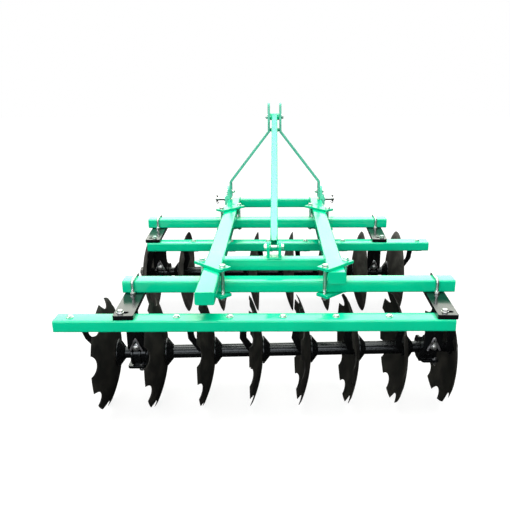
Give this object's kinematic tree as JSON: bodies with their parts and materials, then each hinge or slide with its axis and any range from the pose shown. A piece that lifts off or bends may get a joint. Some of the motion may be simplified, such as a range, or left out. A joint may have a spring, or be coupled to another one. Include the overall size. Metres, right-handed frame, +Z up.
{
  "type": "disc harrow",
  "caption": "Mounted tandem disc harrow: notched rear and plain front disc gangs turn under a tubular frame with clamps, hangers, scrapers and a braced three-point mast.",
  "frame": {"origin": "on the ground below the middle of the frame", "axes": "+X across the machine, +Y the direction of travel, +Z up"},
  "size_m": [1.616, 1.61, 1.165],
  "materials": {
    "green": "gloss",
    "black": "gloss",
    "disc": "satin",
    "cast": "satin",
    "steel": "satin",
    "zinc": "satin"
  },
  "bodies": {
    "frame": {"clamp_bolts": "zinc", "clamp_bottom_plates": "green", "clamp_top_plates": "green", "front_cross_tube": "green", "front_gang_beam": "green", "front_left_bearing": "cast", "front_left_hanger": "black", "front_right_bearing": "cast", "front_right_hanger": "black", "front_scraper_bar": "green", "front_scrapers": "black", "front_u_bolts": "zinc", "hitch_lug_left": "green", "hitch_lug_right": "green", "hitch_pin_left": "zinc", "hitch_pin_right": "zinc", "main_tube_left": "green", "main_tube_right": "green", "mast_bar_left": "green", "mast_bar_right": "green", "mast_foot_bolts": "zinc", "mast_spacer": "green", "mast_stay": "green", "rear_cross_tube": "green", "rear_gang_beam": "green", "rear_left_bearing": "cast", "rear_left_hanger": "black", "rear_right_bearing": "cast", "rear_right_hanger": "black", "rear_scraper_bar": "green", "rear_scrapers": "black", "rear_u_bolts": "zinc", "stay_bolts": "zinc", "stay_bracket": "green"},
    "rear_gang": {"rear_axle": "steel", "rear_axle_nuts": "steel", "rear_bearing_spools": "cast", "rear_disc_1": "disc", "rear_disc_2": "disc", "rear_disc_3": "disc", "rear_disc_4": "disc", "rear_disc_5": "disc", "rear_disc_6": "disc", "rear_disc_7": "disc", "rear_disc_8": "disc", "rear_spools": "cast"},
    "front_gang": {"front_axle": "steel", "front_axle_nuts": "steel", "front_bearing_spools": "cast", "front_disc_1": "disc", "front_disc_2": "disc", "front_disc_3": "disc", "front_disc_4": "disc", "front_disc_5": "disc", "front_disc_6": "disc", "front_disc_7": "disc", "front_disc_8": "disc", "front_spools": "cast"}
  },
  "joints": [
    {"name": "rear_gang_spin", "type": "hinge", "parent": "frame", "child": "rear_gang", "pos_m": [0, -0.504, 0.23], "axis": [0.9993, 0.0366, 0], "continuous": true},
    {"name": "front_gang_spin", "type": "hinge", "parent": "frame", "child": "front_gang", "pos_m": [0, 0.509, 0.23], "axis": [1, 0, 0], "continuous": true}
  ]
}
